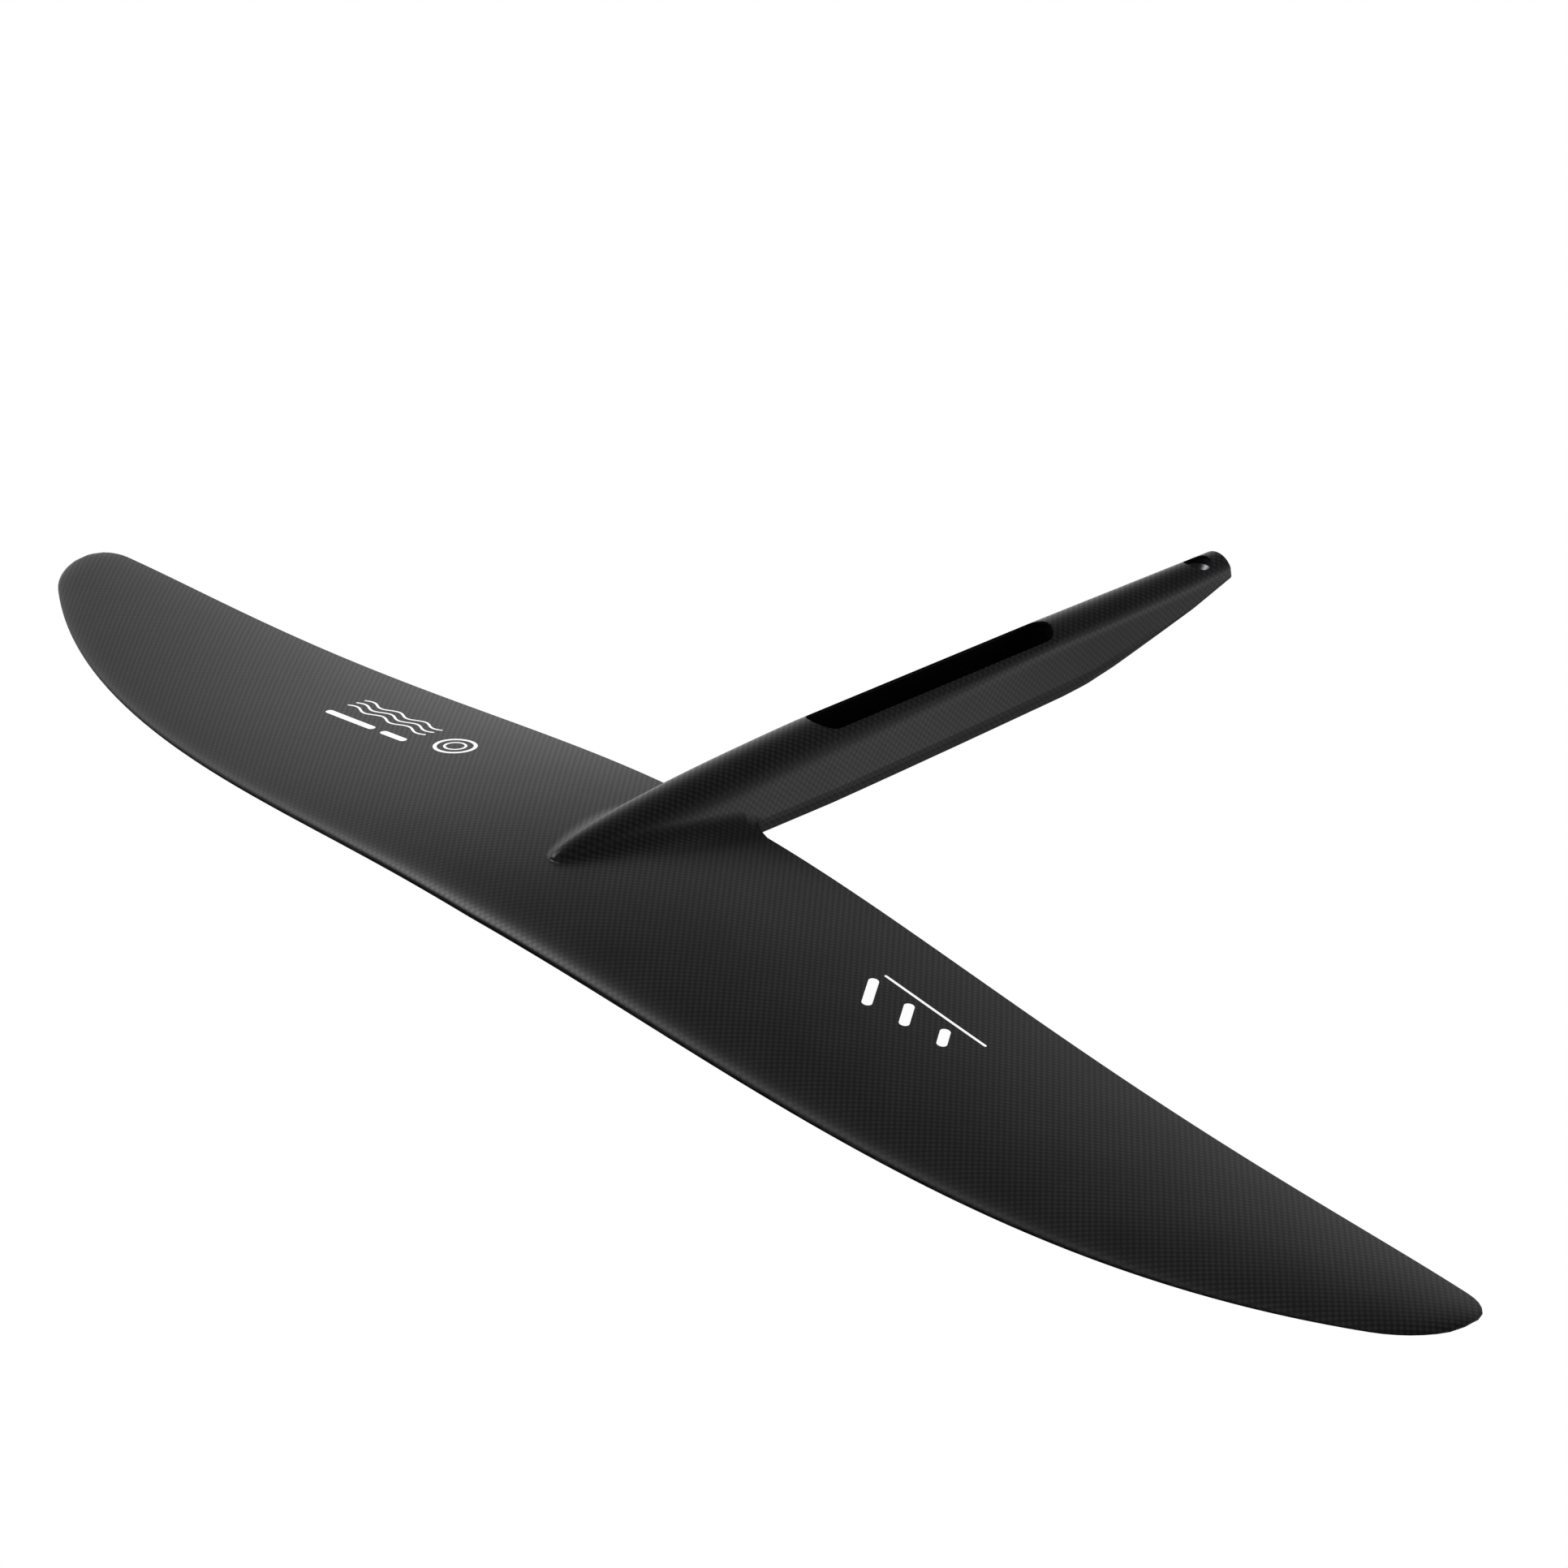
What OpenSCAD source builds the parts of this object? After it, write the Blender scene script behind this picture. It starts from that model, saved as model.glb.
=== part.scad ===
// Moulded carbon front wing of a hydrofoil, with its fuselage in one piece.
// X runs along the span, Y from the leading edge to the tail, Z upwards.
// The origin is the centre of the mast socket's floor, where the foot of the mast stands.

/* [Wing] */
// Half of the wing span
half_span = 465; // [440:1:490]
// Chord at the centre line
root_chord = 144.4; // [140:0.1:150]
// Gentle backward sweep of the leading edge
edge_sweep = 57; // [50:1:64]
// Extra backward rake of the leading edge close to the tips
tip_rake = 46.5; // [40:0.5:50]
// Forward run of the trailing edge towards the tips
trail_taper = 4.5; // [2:0.5:6]
// Height that the wing drops from its centre to its tips
tip_drop = 31.5; // [20:0.5:40]
// Section thickness over chord at the centre
root_thickness = 0.0985; // [0.09:0.0005:0.12]
// Loss of that ratio from the centre to the tip
thickness_loss = 0.0225; // [0.01:0.0005:0.03]
// Section camber over chord at the centre
root_camber = 0.0205; // [0.01:0.0005:0.03]
// Nose-up slope of the chord line
incidence = 0.0097; // [0:0.0001:0.02]
// Half of the thickness of the trailing edge
trail_half = 0.4; // [0.35:0.05:0.6]

/* [Fuselage] */
// Distance from the leading edge to the tip of the fuselage nose
nose_y = 47; // [44:1:52]
// Distance from the leading edge to the tail
tail_y = 468; // [450:1:480]
// Height of the fuselage crown over the leading edge
crown_height = 25.1; // [24:0.1:27]
// Radius of the rounded crown along the mast socket
crown_radius = 16.7; // [16:0.1:18]
// Radius of the rounded crown at the tail
tail_radius = 10.4; // [10:0.1:12]
// Depth of the belly under the leading edge where the wing ends
belly_front = 11.7; // [11:0.1:12]
// Depth of the belly where its scarf begins
belly_rear = 12.4; // [11.8:0.1:13]
// Distance from the leading edge to the foot of the scarf
scarf_y = 371; // [366:1:374]
// Height of the scarf's upper end over the leading edge
scarf_top = 14.5; // [14:0.5:15.5]
// Thickness of the carbon skins
skin = 1.2; // [1:0.1:1.4]

/* [Mast socket] */
// Width of the slot that takes the foot of the mast
slot_width = 19.5; // [18:0.5:19.5]
// Length of the slot
slot_length = 151; // [140:1:151]
// Distance from the leading edge to the middle of the slot
slot_y = 275.5; // [272:0.5:277]
// Thickness of the socket wall
socket_wall = 2; // [1.6:0.1:2]
// Thickness of the plate under the socket
plate_thickness = 6.5; // [6:0.5:6.5]
// Distance between the two mast screws
screw_spacing = 100; // [90:1:110]
// Diameter of the clearance holes for the mast screws
screw_hole = 8.6; // [8.4:0.1:9]
// Diameter of the access holes below the mast screws
access_hole = 18; // [17:0.5:18]

/* [Tail screw] */
// Distance from the tail screw to the end of the tail
tail_screw_in = 15; // [14:1:17]
// Diameter of the pocket over the tail screw's head
tail_pocket = 13.8; // [13.4:0.1:14]
// Diameter of the tail screw's clearance hole
tail_hole = 6.4; // [6.2:0.1:6.6]

/* [Hidden] */

bond = 0.1;             // glue line between the two shells
glue = 0.4;             // glue line round what lies inside them
body_glue = 1.6;        // skin and glue line round what lies inside the fuselage
wing_end = root_chord;  // where the trailing edge meets the fuselage
keel_y = 50;            // where the belly starts to stand out of the wing
nose_z = 9.5;           // height at which the nose leaves the wing
nose_length = 108;      // length over which the nose reaches its full width
taper_y = 350;          // where the crown starts to narrow towards the tail
bevel_height = 5.9;     // height of the sloping strip between the sides and the belly
bevel_in = 0.84;        // how far that strip runs in for each millimetre down

chord_steps = 16;       // rows of facets from leading to trailing edge
crown_steps = 4;        // columns from the centre line to the crease beside the crown
foot = crown_steps + 1; // column at the foot of the fuselage side
root_steps = 3;         // columns from that foot to the first wing station
wing_steps = 15;        // wing stations out to the tip
last = foot + root_steps + wing_steps;
body_steps = 8;         // rows from the wing to the scarf
scarf_steps = 5;        // rows along the scarf
first_station = 60;     // x of the first wing station
column_gap = 1.5;       // distance between the middle columns ahead of the nose
insert_top = 20.5;      // height of the tail insert's upper face

carbon = "#26272a";
dark_carbon = "#131416";
foam = "#d8cfae";
laminate = "#3a3c40";
steel = "#8d9196";

function ease(a, b, from, to, y) = a + (b - a) * min(1, max(0, (y - from) / (to - from)));

// ---- wing ----

function part_of_span(x) = min(abs(x) / half_span, 1);
// Quarter ellipse that rounds a corner of the tip: 0 where it starts, 1 at the tip
function corner(x, reach) =
    let (s = min(1, max(0, (abs(x) - half_span + reach) / reach)))
    1 - sqrt(1 - s * s);
function lead(x) =
    let (p = part_of_span(x))
    edge_sweep * pow(p, 1.6) + tip_rake * pow(p, 5.3) + 14.5 * corner(x, 22);
function trail(x) =
    let (p = part_of_span(x))
    root_chord - trail_taper * (p * p + pow(p, 12)) - 9 * corner(x, 14);
function chord(x) = trail(x) - lead(x);
function sag(x) = -tip_drop * pow(1 - pow(1 - part_of_span(x), 2.6), 2.2);
function half_form(u) =
    5 * (0.2969 * sqrt(u) - 0.126 * u - 0.3516 * pow(u, 2) + 0.2843 * pow(u, 3)
        - 0.1036 * pow(u, 4));
// Height of the camber line at the fraction u of the chord
function middle(x, u) =
    let (p = part_of_span(x), c = chord(x))
    sag(x) - (incidence + 0.0068 * p) * u * c
        + c * (root_camber + 0.0107 * p * p) * 4 * u * (1 - u);
function half_depth(x, u) =
    let (p = part_of_span(x), ratio = root_thickness - thickness_loss * p * p)
    max(trail_half, chord(x) * ratio * half_form(u) + trail_half * u);
// Outer face of the wing: side is 1 above and -1 below
function wing_z(x, u, side) = middle(x, u) + side * half_depth(x, u);
// Inner face of the skin, which never passes the glue line in the middle
function wing_in(x, u, side) =
    middle(x, u) + side * max(half_depth(x, u) - skin, bond / 2);
function wing_point(x, u, side, inset) =
    [x, lead(x) + u * chord(x), inset > 0 ? wing_in(x, u, side) : wing_z(x, u, side)];

// ---- fuselage ----

slot_front = slot_y - slot_length / 2;
function crown_z(y) =
    let (t = ease(0, 1, nose_y, slot_front, y))
    nose_z + (crown_height - nose_z) * pow(1 - pow(1 - t, 1.2), 0.44);
function crown_r(y) =
    let (t = ease(0.03, 1, nose_y, nose_y + nose_length, y))
    y < taper_y ? crown_radius * sqrt(1 - pow(1 - t, 2))
    : ease(crown_radius, tail_radius, taper_y, tail_y, y);
// Angle from the vertical at which the round crown ends and the flat side begins
function crease(y) = y < taper_y ? ease(70, 50, 200, taper_y, y) : ease(50, 68, taper_y, tail_y, y);
// Outward lean of the flat side
function lean(y) = ease(0.2, 0.02, 200, 370, y);
function shoulder_x(y) = crown_r(y) * sin(crease(y));
function shoulder_z(y) = crown_z(y) - crown_r(y) * (1 - cos(crease(y)));
function side_x(y, z) = shoulder_x(y) + lean(y) * (shoulder_z(y) - z);
function belly(y) =
    y > scarf_y ? ease(-belly_rear, scarf_top, scarf_y, tail_y, y)
    : y > wing_end ? -belly_front - (belly_rear - belly_front)
        * pow((y - wing_end) / (scarf_y - wing_end), 2)
    : ease(wing_z(0, keel_y / root_chord, -1), -belly_front, keel_y, wing_end, y);
function bevel(y) = ease(bevel_height, 0.6, scarf_y, 440, y);
// Line along the sides where the upper and the lower shell meet
function parting(y) = ease(middle(0, 1), scarf_top + 1.5, scarf_y, tail_y, y);

// Point n of the crown, from the centre line out to the crease
function crown_point(y, n, inset) =
    let (a = crease(y) * n / crown_steps, r = crown_r(y) - inset)
    [r * sin(a), y, crown_z(y) - crown_r(y) + r * cos(a)];
// Point n of the belly, from the centre line over the sloping strip to the side
function belly_point(y, n, inset, top) =
    let (z = belly(y), high = min(bevel(y), (top - z) * 0.45), w = side_x(y, z + high) - inset,
        up = max(high - inset * 0.4, 0.1) * (high > inset ? 1 - inset / high * 0.6 : 0.5))
    n < 3 ? [(w - bevel_in * high) * n / 2, y, z + inset]
    : n == 3 ? [w - bevel_in * high / 2, y, z + inset + up / 2]
    : [w, y, z + inset + (inset > 0 ? up : high)];

// ---- grids of the two shells: rows run from the leading edge to the tail ----

function row_u(i) = (1 - cos(180 * i / chord_steps)) / 2;
function body_y(i) =
    i <= body_steps ? wing_end + (scarf_y - wing_end) * i / body_steps
    : scarf_y + (tail_y - scarf_y) * (i - body_steps) / scarf_steps;
function station(k) =
    first_station + (half_span - first_station) * (1 - pow(1 - k / wing_steps, 1.7));
// x of the column n that lies out on the wing, where the fuselage foot is at x = inner
function column_x(n, inner) =
    n < foot + root_steps ? inner + (first_station - inner) * (n - foot) / root_steps
    : station(n - foot - root_steps);

function upper_point(i, n, inset) =
    let (u = row_u(i), y = u * root_chord, z = wing_z(0, u, 1),
        risen = y > nose_y && crown_z(y) > z + 1,
        inner = risen ? side_x(y, min(z, shoulder_z(y))) : foot * column_gap)
    n > foot ? wing_point(column_x(n, inner), u, 1, inset)
    : n == foot ? wing_point(inner - inset * 0.7, u, 1, inset)
    : risen ? crown_point(y, n, inset)
    : wing_point(n * column_gap, u, 1, inset);
function lower_point(i, n, inset) =
    let (u = row_u(i), y = u * root_chord, z = wing_z(0, u, -1),
        keel = y > keel_y && belly(y) < z - 0.6,
        inner = keel ? side_x(y, z) : foot * column_gap)
    n > foot ? wing_point(column_x(n, inner), u, -1, inset)
    : n == foot ? wing_point(inner - inset * 0.7, u, -1, inset)
    : keel ? belly_point(y, n, inset, z)
    : wing_point(n * column_gap, u, -1, inset);
function upper_body_point(y, n, inset) =
    let (z = parting(y))
    n < foot ? crown_point(y, n, inset) : [side_x(y, z) - inset, y, z + bond / 2];
function lower_body_point(y, n, inset) =
    let (z = parting(y))
    n < foot ? belly_point(y, n, inset, z) : [side_x(y, z) - inset, y, z - bond / 2];
function mirrored(p, j) = j < 0 ? [-p[0], p[1], p[2]] : p;

// All the points of one face of a shell: the wing rows, then the fuselage rows behind it
function shell_points(upper, inset) = concat(
    [for (i = [0:chord_steps], j = [-last:last])
        mirrored(upper ? upper_point(i, abs(j), inset) : lower_point(i, abs(j), inset), j)],
    [for (i = [1:rows_behind(upper)], j = [-foot:foot])
        mirrored(upper ? upper_body_point(body_y(i), abs(j), inset)
            : lower_body_point(body_y(i), abs(j), inset), j)]
);
// The lower shell stops at the scarf, which has a skin of its own
function rows_behind(upper) = upper ? body_steps + scarf_steps : body_steps;
wing_points = (chord_steps + 1) * (2 * last + 1);
function at(i, j) =
    i <= chord_steps ? i * (2 * last + 1) + j + last
    : wing_points + (i - chord_steps - 1) * (2 * foot + 1) + j + foot;
// Two triangles for four corners in clockwise order
function quad(a, b, c, d) = [[a, b, c], [a, c, d]];
function flat(lists) = [for (l = lists) each l];

module shell(upper) {
    rows = chord_steps + rows_behind(upper);
    count = wing_points + rows_behind(upper) * (2 * foot + 1);
    function rim(a, b) = quad(b, a, a + count, b + count);
    cells = concat(
        [for (i = [0:chord_steps - 1], j = [-last:last - 1]) [i, j]],
        [for (i = [chord_steps:rows - 1], j = [-foot:foot - 1]) [i, j]]
    );
    outer = flat([for (c = cells)
        quad(at(c[0], c[1]), at(c[0] + 1, c[1]), at(c[0] + 1, c[1] + 1), at(c[0], c[1] + 1))]);
    inner = [for (t = outer) [t[0] + count, t[2] + count, t[1] + count]];
    edges = flat([
        flat([for (j = [-last:last - 1]) rim(at(0, j + 1), at(0, j))]),
        flat([for (i = [0:chord_steps - 1]) rim(at(i, -last), at(i + 1, -last))]),
        flat([for (i = [0:chord_steps - 1]) rim(at(i + 1, last), at(i, last))]),
        flat([for (j = [-last:-foot - 1]) rim(at(chord_steps, j), at(chord_steps, j + 1))]),
        flat([for (j = [foot:last - 1]) rim(at(chord_steps, j), at(chord_steps, j + 1))]),
        flat([for (i = [chord_steps:rows - 1]) rim(at(i, -foot), at(i + 1, -foot))]),
        flat([for (i = [chord_steps:rows - 1]) rim(at(i + 1, foot), at(i, foot))]),
        flat([for (j = [-foot:foot - 1]) rim(at(rows, j), at(rows, j + 1))])
    ]);
    faces = concat(outer, inner, edges);
    polyhedron(
        points = concat(shell_points(upper, 0), shell_points(upper, skin)),
        faces = upper ? faces : [for (t = faces) [t[0], t[2], t[1]]]
    );
}

// Solid between two grids of points, each listed along y for one x after another
module sheet(over, under, steps, rows) {
    count = len(over);
    function id(i, k) = i * (rows + 1) + k;
    function wall(a, b) = quad(b, a, a + count, b + count);
    top = flat([for (i = [0:steps - 1], k = [0:rows - 1])
        quad(id(i, k), id(i, k + 1), id(i + 1, k + 1), id(i + 1, k))]);
    bottom = [for (t = top) [t[0] + count, t[2] + count, t[1] + count]];
    sides = flat([
        flat([for (k = [0:rows - 1]) wall(id(0, k), id(0, k + 1))]),
        flat([for (k = [0:rows - 1]) wall(id(steps, k + 1), id(steps, k))]),
        flat([for (i = [0:steps - 1]) wall(id(i + 1, 0), id(i, 0))]),
        flat([for (i = [0:steps - 1]) wall(id(i, rows), id(i + 1, rows))])
    ]);
    polyhedron(points = concat(over, under), faces = concat(top, bottom, sides));
}

// Skin of the scarf under the tail, with the lower edges of the sides
module scarf_sheet() {
    start = scarf_y + bond;
    function place(j, i, inset) =
        mirrored(lower_body_point(start + (tail_y - start) * i / scarf_steps, abs(j), inset), j);
    sheet(
        [for (j = [-foot:foot], i = [0:scarf_steps]) place(j, i, skin)],
        [for (j = [-foot:foot], i = [0:scarf_steps]) place(j, i, 0)],
        2 * foot, scarf_steps
    );
}

// ---- pieces inside the wing ----

// Solid between two stations and two chord fractions; low and high are parts of the depth
// inside the glue line, from -1 at the lower skin to 1 at the upper skin
module slab(x0, x1, u_front, u_rear, low, high, steps = 8, rows = 5) {
    function front(x) = u_front[0] + u_front[1] * part_of_span(x);
    function rear(x) = u_rear[0] + u_rear[1] * part_of_span(x);
    function depth(x, u) = max(half_depth(x, u) - skin - glue, 0.15);
    function place(i, k, level) =
        let (x = x0 + (x1 - x0) * i / steps,
            u = front(x) + (rear(x) - front(x)) * k / rows)
        [x, lead(x) + u * chord(x), middle(x, u) + level * depth(x, u)];
    sheet(
        [for (i = [0:steps], k = [0:rows]) place(i, k, high)],
        [for (i = [0:steps], k = [0:rows]) place(i, k, low)],
        steps, rows
    );
}

module on_left() mirror([1, 0, 0]) children();
core_end = 0.88 * half_span;

module front_core() color(foam) slab(1, core_end, [0.07, 0], [0.2, 0], -1, 1, 10);
module rear_core() color(foam) slab(30, core_end, [0.325, 0], [0.86, -0.2], -1, 1, 10, 6);
module leading_strip() color(laminate) slab(1, core_end, [0.025, 0], [0.062, 0], -1, 1, 10, 2);
module trailing_strip()
    color(laminate) slab(30, 0.6 * half_span, [0.868, -0.2], [0.92, -0.05], -1, 1, 8, 2);
module tip_block()
    color(laminate) slab(0.89 * half_span, 0.965 * half_span, [0.2, 0], [0.6, 0], -1, 1, 3, 4);
module spar(low, high) slab(-core_end, core_end, [0.21, 0], [0.31, 0], low, high, 20, 3);

// ---- pieces inside the fuselage ----

function section(y, inset) =
    let (z = belly(y) + inset, high = 0.9 * bevel(y), w = side_x(y, z + high) - inset,
        half = concat([[w - bevel_in * bevel(y), y, z], [w, y, z + high]],
            [for (n = [crown_steps:-1:0]) crown_point(y, n, inset)]),
        top = len(half) - 1)
    concat(half, [for (k = [top - 1:-1:0]) mirrored(half[k], -1)]);
// Solid through a row of sections with the same number of points
module loft(stations, inset) {
    rings = [for (y = stations) section(y, inset)];
    size = len(rings[0]);
    ends = len(rings) - 1;
    polyhedron(
        points = flat(rings),
        faces = concat(
            flat([for (i = [0:ends - 1], k = [0:size - 1])
                quad(i * size + k, (i + 1) * size + k, (i + 1) * size + (k + 1) % size,
                    i * size + (k + 1) % size)]),
            [[for (k = [0:size - 1]) k]],
            [[for (k = [size - 1:-1:0]) ends * size + k]]
        )
    );
}
function steps_between(a, b, count) = [for (i = [0:count]) a + (b - a) * i / count];

module slot_outline(grow) {
    r = slot_width / 2 + grow;
    reach = slot_length / 2 - slot_width / 2;
    square([2 * r, 2 * reach], center = true);
    for (s = [-1, 1]) translate([0, s * reach]) circle(r, $fn = 48);
}
module at_slot(z) translate([0, slot_y, z]) children();
socket_half = slot_length / 2 + socket_wall;
tail_screw_y = tail_y - tail_screw_in;
block_y = 414;          // where the foam core gives way to the solid tail block
seat_depth = (access_hole - 1.6 - screw_hole) / 2;

// The whole model is drawn from the leading edge and set on its origin here
module in_frame() translate([0, -slot_y, 0]) children();

module upper_shell() color(carbon) in_frame() difference() {
    shell(true);
    at_slot(0) linear_extrude(crown_height + 5) slot_outline(0);
    translate([0, tail_screw_y, scarf_top]) cylinder(d = tail_pocket, h = 20, $fn = 48);
}
module lower_shell() color(carbon) in_frame() difference() {
    shell(false);
    for (s = [-1, 1])
        translate([0, slot_y + s * screw_spacing / 2, -belly_rear - 5])
            cylinder(d = access_hole, h = belly_rear, $fn = 48);
}
module tail_skin() color(carbon) in_frame() difference() {
    scarf_sheet();
    translate([0, tail_screw_y, 0]) cylinder(d = tail_hole, h = scarf_top + 3, $fn = 48);
}
module front_core_left() in_frame() on_left() front_core();
module front_core_right() in_frame() front_core();
module rear_core_left() in_frame() on_left() rear_core();
module rear_core_right() in_frame() rear_core();
module spar_cap_upper() color(dark_carbon) in_frame() spar(0.62, 1);
module spar_cap_lower() color(dark_carbon) in_frame() spar(-1, -0.62);
module spar_web() color(laminate) in_frame() spar(-0.55, 0.55);
module leading_strip_left() in_frame() on_left() leading_strip();
module leading_strip_right() in_frame() leading_strip();
module trailing_strip_left() in_frame() on_left() trailing_strip();
module trailing_strip_right() in_frame() trailing_strip();
module tip_block_left() in_frame() on_left() tip_block();
module tip_block_right() in_frame() tip_block();
module nose_core() color(foam) in_frame()
    loft(steps_between(keel_y + 6, slot_y - socket_half - glue, 9), body_glue);
module tail_core() color(foam) in_frame()
    loft(concat([slot_y + socket_half + glue], steps_between(scarf_y, block_y, 3)), body_glue);
module tail_block() color(laminate) in_frame() difference() {
    loft(steps_between(block_y + glue, tail_y - glue, 4), body_glue);
    translate([0, tail_screw_y, 0]) cylinder(d = 9.8, h = 30, $fn = 48);
    translate([0, tail_screw_y, 16.6]) cylinder(d = tail_pocket, h = 20, $fn = 48);
}
// Countersunk seat of the tail screw
module tail_insert() color(steel) in_frame() translate([0, tail_screw_y, 0])
    rotate_extrude($fn = 64) polygon([
        [tail_hole / 2, 14.6], [4.8, 14.6], [4.8, 16.8], [tail_pocket / 2 - 0.1, 16.8],
        [tail_pocket / 2 - 0.1, insert_top], [tail_pocket / 2 - 0.4, insert_top],
        [tail_hole / 2, insert_top - tail_pocket / 2 + 0.4 + tail_hole / 2]
    ]);
// Wall of the socket, which stops under the crown and over the lower skin
module mast_socket() color(dark_carbon) in_frame() intersection() {
    at_slot(-plate_thickness) linear_extrude(plate_thickness + crown_height) difference() {
        slot_outline(socket_wall);
        slot_outline(0);
    }
    loft(steps_between(slot_y - socket_half - 1, slot_y + socket_half + 1, 12), skin + bond);
}
// Floor of the socket, glued in between its walls
module socket_plate() color(laminate) in_frame() difference() {
    at_slot(-plate_thickness) linear_extrude(plate_thickness) slot_outline(-bond);
    for (s = [-1, 1])
        translate([0, slot_y + s * screw_spacing / 2, -plate_thickness - 1])
            cylinder(d = access_hole, h = plate_thickness + 2, $fn = 48);
}
// Countersunk seat of one mast screw, glued into the plate from below
module screw_seat(side) color(steel) in_frame()
    translate([0, slot_y + side * screw_spacing / 2, 0])
    rotate_extrude($fn = 64) polygon([
        [screw_hole / 2, 0], [access_hole / 2 - 0.1, 0],
        [access_hole / 2 - 0.1, -plate_thickness],
        [screw_hole / 2 + seat_depth, -plate_thickness],
        [screw_hole / 2, -plate_thickness + seat_depth]
    ]);
module screw_seat_front() screw_seat(-1);
module screw_seat_rear() screw_seat(1);

upper_shell();
lower_shell();
tail_skin();
front_core_left();
front_core_right();
rear_core_left();
rear_core_right();
spar_cap_upper();
spar_cap_lower();
spar_web();
leading_strip_left();
leading_strip_right();
trailing_strip_left();
trailing_strip_right();
tip_block_left();
tip_block_right();
nose_core();
tail_core();
tail_block();
tail_insert();
mast_socket();
socket_plate();
screw_seat_front();
screw_seat_rear();
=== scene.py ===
"""Looks of a moulded carbon hydrofoil front wing with its fuselage in one piece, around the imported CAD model.

Shapes are worked out in millimetres from the leading edge at the centre line: X along the span, Y to the
tail, Z up. shift() moves them to the row frame, whose origin is the centre of the mast socket's floor.
"""
import math

import bpy
import numpy as np
from mathutils import Matrix, Vector


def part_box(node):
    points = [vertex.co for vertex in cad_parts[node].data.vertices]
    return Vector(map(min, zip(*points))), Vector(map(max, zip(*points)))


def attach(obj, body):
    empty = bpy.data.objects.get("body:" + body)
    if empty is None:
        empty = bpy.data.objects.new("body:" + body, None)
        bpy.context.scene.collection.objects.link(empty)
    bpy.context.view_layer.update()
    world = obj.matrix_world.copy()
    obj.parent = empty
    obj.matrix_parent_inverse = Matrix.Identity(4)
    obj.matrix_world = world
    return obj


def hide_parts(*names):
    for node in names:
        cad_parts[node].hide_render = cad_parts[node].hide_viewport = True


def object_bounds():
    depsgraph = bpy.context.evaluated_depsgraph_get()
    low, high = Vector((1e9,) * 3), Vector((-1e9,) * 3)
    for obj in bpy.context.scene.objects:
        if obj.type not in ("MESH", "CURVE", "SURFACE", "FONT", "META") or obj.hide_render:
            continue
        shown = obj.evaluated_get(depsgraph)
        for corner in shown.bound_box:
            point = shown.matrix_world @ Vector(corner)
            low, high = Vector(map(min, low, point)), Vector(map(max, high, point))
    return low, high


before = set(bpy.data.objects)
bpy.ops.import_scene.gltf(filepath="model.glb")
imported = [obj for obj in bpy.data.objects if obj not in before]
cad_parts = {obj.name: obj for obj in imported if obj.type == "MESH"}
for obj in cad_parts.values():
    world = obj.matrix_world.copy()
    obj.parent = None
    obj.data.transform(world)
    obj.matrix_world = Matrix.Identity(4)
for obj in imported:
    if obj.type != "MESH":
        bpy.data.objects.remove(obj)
cad_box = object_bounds()

MM = 0.001

# ---- driving sizes, as in the CAD model ----

HALF_SPAN = cad_box[1].x / MM
SLOT_Y = -cad_box[0].y / MM
TAIL_Y = SLOT_Y + cad_box[1].y / MM
ROOT_CHORD = 144.4
EDGE_SWEEP = 57.0
TIP_RAKE = 46.5
TRAIL_TAPER = 4.5
TIP_DROP = 31.5
ROOT_THICKNESS = 0.0985
THICKNESS_LOSS = 0.0225
ROOT_CAMBER = 0.0205
INCIDENCE = 0.0097
TRAIL_HALF = 0.4
NOSE_Y = 47.0
NOSE_Z = 9.5
NOSE_LENGTH = 108.0
CROWN_HEIGHT = 25.1
CROWN_RADIUS = 16.7
TAIL_RADIUS = 10.4
TAPER_Y = 350.0
BELLY_FRONT = 11.7
BELLY_REAR = 12.4
SCARF_Y = 371.0
SCARF_TOP = 14.5
KEEL_Y = 50.0
SKIN = 1.2
SLOT_WIDTH = 19.5
SLOT_LENGTH = 151.0
TAIL_SCREW_Y = TAIL_Y - 15.0
TAIL_POCKET = 13.8
TAIL_HOLE = 6.4
INSERT_TOP = 20.5
SCREW_SPACING = 100.0
ACCESS_HOLE = 18.0
SOCKET_WALL = 2.0
PLATE_THICKNESS = 6.5

# ---- sizes that only the looks have ----

FILLET = 10.5         # width of the hollow between the wing and the fuselage, across the wing
CORNER_WIDTH = 14.0   # width of the rounded inner corner behind the wing, at the trailing edge
CORNER_LENGTH = 30.0  # how far that corner runs on behind the trailing edge
HOLLOW_RISE = 0.55    # height of that hollow over its width
KEEL_FILLET = 3.0     # the same between the wing and the belly
CREASE_SOFT = 3.0     # half width of the soft crease beside the crown
BEVEL = 8.0           # height of the sloping strip between the sides and the belly
EDGE_SOFT = 0.28      # rounding of its upper edge over its height
BEVEL_SLOPE = 0.62    # how far that strip runs in for each millimetre down
BEND_SOFT = 6.0       # softness of the bend between the belly and the scarf
TAIL_EDGE = 1.3       # rounding round the end of the tail
PATCH = 60.0          # x where the wing's own stations begin


def ease(a, b, start, end, y):
    return a + (b - a) * np.clip((y - start) / (end - start), 0.0, 1.0)


def smooth(start, end, y):
    t = np.clip((y - start) / (end - start), 0.0, 1.0)
    return t * t * (3.0 - 2.0 * t)


# ---- wing ----

def span_part(x):
    return np.minimum(np.abs(x) / HALF_SPAN, 1.0)


def corner(x, reach):
    s = np.clip((np.abs(x) - HALF_SPAN + reach) / reach, 0.0, 1.0)
    return 1.0 - np.sqrt(1.0 - s * s)


def lead(x):
    p = span_part(x)
    return EDGE_SWEEP * p**1.6 + TIP_RAKE * p**5.3 + 14.5 * corner(x, 22.0)


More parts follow.
